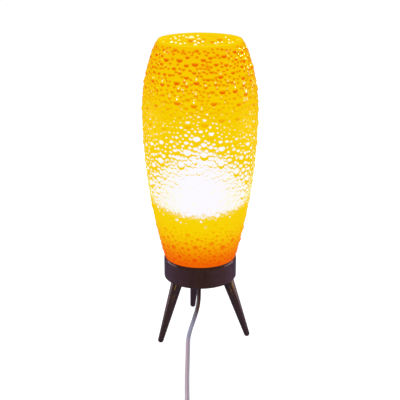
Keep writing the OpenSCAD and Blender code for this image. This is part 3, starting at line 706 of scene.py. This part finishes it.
# The white zone ends where a point's height, shifted by what its bubble does, passes a limit.
# The upper half of a bubble shows what glows below it, and the lower half what lies above.
# The glow reaches higher in front and behind than aside.
x_squared = product(amber_axes["X"], amber_axes["X"])
y_squared = product(amber_axes["Y"], amber_axes["Y"])
aside = calculated(amber_tree, "DIVIDE", x_squared, total(x_squared, y_squared))
hot_above = total(
    height_up,
    product(up, eased(aside, 0.3, 0.9, -0.042, -0.082)),
    product(calculated(amber_tree, "ABSOLUTE", up), -0.006),
    product(side, side, 0.016),
    eased(reach, 0.75, 1.05, 0.0, 0.008),
    product(bubble_luck, on_bubble, 0.007),
    product(stir, eased(aside, 0.2, 0.8, 0.003, 0.01)),
    product(aside, 0.06),
)
hot_below = total(
    height_up,
    product(up, eased(bulk, 0.5, 0.8, -0.003, -0.006)),
    product(stir, 0.0035),
    product(eased(bubble_luck, 0.1, 1.0, 0.0, 0.0115), eased(reach, 0.6, 0.9, 1.0, 0.0)),
    product(aside, -0.01),
)
hot_share = product(eased(hot_above, 0.256, 0.265, 1.0, 0.0), eased(hot_below, 0.1685, 0.176))
white_ahead = lit(eased(height_up, 0.205, 0.245), (250, 249, 272), (250, 249, 258))
white_hot = lit(eased(aside, 0.3, 0.9), white_ahead, (250, 252, 350))
with_white = lit(hot_share, glow, white_hot)

# High up each bubble's lower half shows an orange bowl, and some carry a painted white highlight above it
# or, on the right, a wider painted glint
bowl_depth = total(down, product(side, side, -0.2), eased(bulk, 0.4, 0.9, 0.42, 0.06))
bowl_height = total(height_up, eased(bulk, 0.6, 0.85, 0.0, 0.016))
bowl_share = product(
    eased(bowl_depth, -0.25, 0.55),
    eased(reach, 0.95, 1.08, 1.0, 0.0),
    eased(bowl_height, 0.268, 0.346),
    eased(bulk, 0.4, 0.8, 0.75, 1.0),
)


def spot_on_bubble(spot_up, spot_side, full, gone):
    # It is 1 near that spot of every bubble; full and gone are squared distances in bubble radii
    off_up = calculated(amber_tree, "SUBTRACT", up, spot_up)
    off_side = calculated(amber_tree, "SUBTRACT", side, spot_side)
    return eased(total(product(off_up, off_up), product(off_side, off_side)), full, gone, 1.0, 0.0)


# Painted highlights: white sparks high on some bubbles, and wider glints on the right-hand side
painted_spark_share = product(
    spot_on_bubble(0.55, 0.0, full=0.01, gone=0.04),
    eased(bubble_luck, 0.6, 0.68),
    eased(height_up, 0.325, 0.35, 1.0, 0.0),
    eased(height_up, 0.26, 0.28),
)
painted_glint_share = product(
    spot_on_bubble(0.3, 0.1, full=0.05, gone=0.12),
    eased(bubble_luck, 0.7, 0.78),
    eased(amber_axes["X"], 0.034, 0.056),
    eased(height_up, 0.25, 0.27),
    eased(height_up, 0.35, 0.36, 1.0, 0.0),
)
with_bowls = lit(bowl_share, with_white, (236, 98, 0))
with_painted_glints = lit(painted_glint_share, with_bowls, (260, 265, 340))
with_painted_sparks = lit(painted_spark_share, with_painted_glints, (300, 300, 310))

# Inside the mouth the bubbles show as hollows, some with a painted white highlight and some orange
near_mouth = eased(height_up, 0.336, 0.346)
# Painted highlights on the hollows inside the mouth
inner_painted_highlight = product(
    eased(up, -0.1, 0.2),
    eased(reach, 0.75, 0.95, 1.0, 0.0),
    eased(bubble_luck, 0.0, 0.15),
    near_mouth,
)
inner_orange = product(eased(down, 0.2, 0.5, 0.0, 0.8), eased(bulk, 0.45, 0.65, 0.25, 1.0), near_mouth)
inner_plain = lit(eased(height_up, 0.19, 0.31), (252, 248, 235), (245, 206, 4))
inner_light = lit(inner_orange, lit(inner_painted_highlight, inner_plain, (300, 300, 290)), (239, 130, 0))
both_sides = lit(bubble_mark("inner"), with_painted_sparks, inner_light)
shade_light = lit(bubble_mark("lip"), both_sides, (247, 216, 10))
feed(amber_tree, amber_shader.inputs["Emission Color"], shade_light)
shade_mesh.materials.append(amber)
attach(shade, "shade")
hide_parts("shade")

# Bulb
# A pearl glass bulb, lit, in its aluminium cap with a black glass insulator and a soldered
# tip. The stem and the filament inside it only show when the glass is taken away.
pearl, pearl_tree, pearl_shader = new_finish("pearl_glass", (0.3, 0.26, 0.2), roughness=0.35, specular=0.4)
pearl_low, pearl_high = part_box("bulb_glass")
_, pearl_axes = point_of(pearl_tree)
pearl_glow = banded(pearl_tree, ranged(pearl_tree, pearl_axes["Z"], pearl_low[2], pearl_high[2]), (
    (0.0, (0.7, 0.34, 0.08)), (0.5, (1.0, 0.83, 0.5)), (1.0, (0.95, 0.7, 0.32)),
))
feed(pearl_tree, pearl_shader.inputs["Emission Color"], pearl_glow)
pearl_shader.inputs["Emission Strength"].default_value = 0.85
dress(pearl, "bulb_glass")

hot_wire, hot_tree, hot_shader = new_finish("glowing_wire", (0.5, 0.3, 0.1), roughness=0.4, metallic=1.0)
hot_place = add_node(hot_tree, "TexCoord").outputs["Object"]
hot_spots = add_node(hot_tree, "TexNoise", {"Vector": hot_place, "Scale": 900.0}).outputs["Fac"]
hot_glow = banded(hot_tree, hot_spots, ((0.0, (1.0, 0.5, 0.15)), (1.0, (1.0, 0.82, 0.5))))
feed(hot_tree, hot_shader.inputs["Emission Color"], hot_glow)
hot_shader.inputs["Emission Strength"].default_value = 3.0
dress(hot_wire, "bulb_filament")

mottle, mottle_in, mottle_out = new_group(
    "fine_mottle",
    {"Vector": "Vector", "Tint": "Color", "Shade": "Color", "Grain Scale": "Float",
     "Low Roughness": "Float", "High Roughness": "Float"},
    {"Color": "Color", "Roughness": "Float", "Height": "Float"},
)
mottle_noise = add_node(mottle, "TexNoise", {
    "Vector": mottle_in["Vector"], "Scale": mottle_in["Grain Scale"], "Detail": 5.0,
})
specks = mottle_noise.outputs["Fac"]
speck_gloss = ranged(mottle, specks, 0.0, 1.0, mottle_in["Low Roughness"], mottle_in["High Roughness"])
feed(mottle, mottle_out["Color"], mixed(mottle, specks, mottle_in["Tint"], mottle_in["Shade"]))
feed(mottle, mottle_out["Roughness"], speck_gloss)
feed(mottle, mottle_out["Height"], specks)
MOTTLE_BUMP, MOTTLE_RELIEF = 0.1, 0.0002


def mottled(name, tint, shade_tint, scale, gloss, metallic=0.0, stretch=(1.0, 1.0, 1.0)):
    # Fine specks between two tints, and between two values of roughness
    finish, tree, shader = new_finish(name, tint, gloss[0], metallic)
    place = add_node(tree, "TexCoord").outputs["Object"]
    surface = add_node(tree, "Group", {
        "Vector": add_node(tree, "Mapping", {"Vector": place, "Scale": stretch}).outputs["Vector"],
        "Tint": tint, "Shade": shade_tint, "Grain Scale": scale,
        "Low Roughness": gloss[0], "High Roughness": gloss[1],
    }, node_tree=mottle)
    add_surface(tree, shader, surface, MOTTLE_BUMP, MOTTLE_RELIEF)
    return finish


cap_metal = mottled(
    "spun_aluminium", (0.8, 0.78, 0.74), (0.66, 0.63, 0.58), 300.0, (0.25, 0.42),
    metallic=1.0, stretch=(1, 1, 4),
)
solder = mottled("soldered_tip", (0.7, 0.7, 0.7), (0.5, 0.5, 0.52), 700.0, (0.3, 0.5), metallic=1.0)
black_glass = mottled("black_glass", (0.012, 0.011, 0.016), (0.02, 0.018, 0.022), 400.0, (0.08, 0.15))
stem_glass = mottled("stem_glass", (0.82, 0.86, 0.86), (0.72, 0.78, 0.78), 200.0, (0.05, 0.12))
dress(cap_metal, "bulb_cap")
dress(solder, "bulb_contact")
dress(black_glass, "bulb_insulator")
dress(stem_glass, "bulb_stem")

# Lampholder
# A black two-piece holder moulded in phenolic, with a glazed porcelain insert and a brass
# screw shell. A brass nipple with its nut and steel washer clamps it to the base.
phenolic = mottled("black_phenolic", (0.016, 0.012, 0.012), (0.034, 0.027, 0.026), 220.0, (0.16, 0.3))
glaze = mottled("glazed_porcelain", (0.84, 0.81, 0.74), (0.74, 0.7, 0.62), 120.0, (0.1, 0.22))
brass = mottled(
    "lacquered_brass", (0.78, 0.55, 0.23), (0.6, 0.4, 0.15), 260.0, (0.2, 0.4),
    metallic=1.0, stretch=(1, 1, 3),
)
zinc_steel = mottled(
    "zinc_steel", (0.62, 0.62, 0.64), (0.48, 0.48, 0.51), 350.0, (0.25, 0.45), metallic=1.0,
)
lead_skin = mottled(
    "lead_insulation", (0.55, 0.46, 0.47), (0.66, 0.4, 0.32), 500.0, (0.25, 0.4), stretch=(4, 4, 1),
)
dress(phenolic, "holder_cap", "holder_shell")
dress(glaze, "holder_insert")
dress(brass, "holder_thread", "holder_contact", "holder_terminals", "holder_screws", "nipple", "nipple_nut")
dress(zinc_steel, "nipple_washer")
dress(lead_skin, "lead_wires")

# Switch, plug and the soft pieces on the flex
# The switch and the plug are moulded in glossy brown-black plastic, the rocker in a paler
# one; the bush in the base and the tie round the coil are soft black rubber.
moulding = mottled("brown_black_plastic", (0.03, 0.018, 0.017), (0.05, 0.032, 0.03), 600.0, (0.24, 0.38))
rocker_finish = mottled("pale_rocker_plastic", (0.6, 0.52, 0.42), (0.5, 0.42, 0.33), 500.0, (0.22, 0.36))
rubber = mottled("soft_black_rubber", (0.018, 0.018, 0.018), (0.036, 0.035, 0.035), 900.0, (0.55, 0.75))
nickel = mottled(
    "nickel_pins", (0.74, 0.72, 0.68), (0.6, 0.58, 0.54), 500.0, (0.18, 0.34),
    metallic=1.0, stretch=(1, 4, 1),
)
dress(moulding, "switch_lower_case", "switch_upper_case", "plug_boot", "plug_body")
dress(rocker_finish, "switch_rocker")
dress(rubber, "cord_grip", "cord_tie")
dress(nickel, "plug_pins")
dress(zinc_steel, "switch_pivot", "switch_screws")
dress(brass, "switch_blades")
